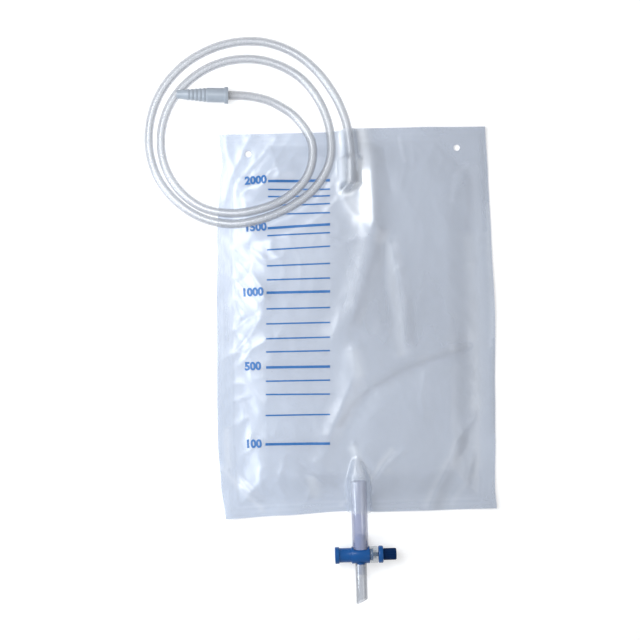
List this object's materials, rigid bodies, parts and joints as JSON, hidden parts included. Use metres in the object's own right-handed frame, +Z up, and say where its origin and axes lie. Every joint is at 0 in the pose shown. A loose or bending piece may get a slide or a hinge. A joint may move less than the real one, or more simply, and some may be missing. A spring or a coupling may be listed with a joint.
{
  "type": "urine drainage bag",
  "caption": "Flat two-film urine drainage bag with a printed scale, a looped drainage tube with a tapered catheter connector, and a push-pull drain tap.",
  "frame": {"origin": "middle of the bag's back film, on the surface it lies on", "axes": "+Y along the bag towards the inlet, +Z up through the front film, +X towards the tap's knob"},
  "size_m": [0.2567, 0.422, 0.014],
  "materials": {
    "white_film": "blue-white PVC film, satin",
    "clear_film": "clear PVC film, glossy, creased",
    "clear_pvc": "soft clear PVC tube, glossy",
    "lilac_pvc": "soft lilac-tinted PVC tube, glossy",
    "steel_blue_pvc": "semi-rigid tinted PVC, satin",
    "mid_blue": "moulded plastic, glossy mid blue",
    "navy": "moulded plastic, dark navy, matt",
    "clear_collar": "clear moulded plastic"
  },
  "bodies": {
    "bag": {"back_film": "white_film", "front_film": "clear_film", "inlet_sleeve": "clear_pvc", "non_return_valve": "clear_film", "inlet_tube": "clear_pvc", "catheter_connector": "steel_blue_pvc", "outlet_tube": "lilac_pvc", "drain_spout": "clear_pvc", "tap_body": "mid_blue", "tap_collar": "clear_collar"},
    "plunger": {"tap_plunger": "navy", "push_head": "mid_blue", "push_knob": "navy"}
  },
  "joints": [
    {"name": "tap_slide", "type": "slide", "parent": "bag", "child": "plunger", "axis": [1, 0, 0], "range_m": [0, 0.0058]}
  ]
}
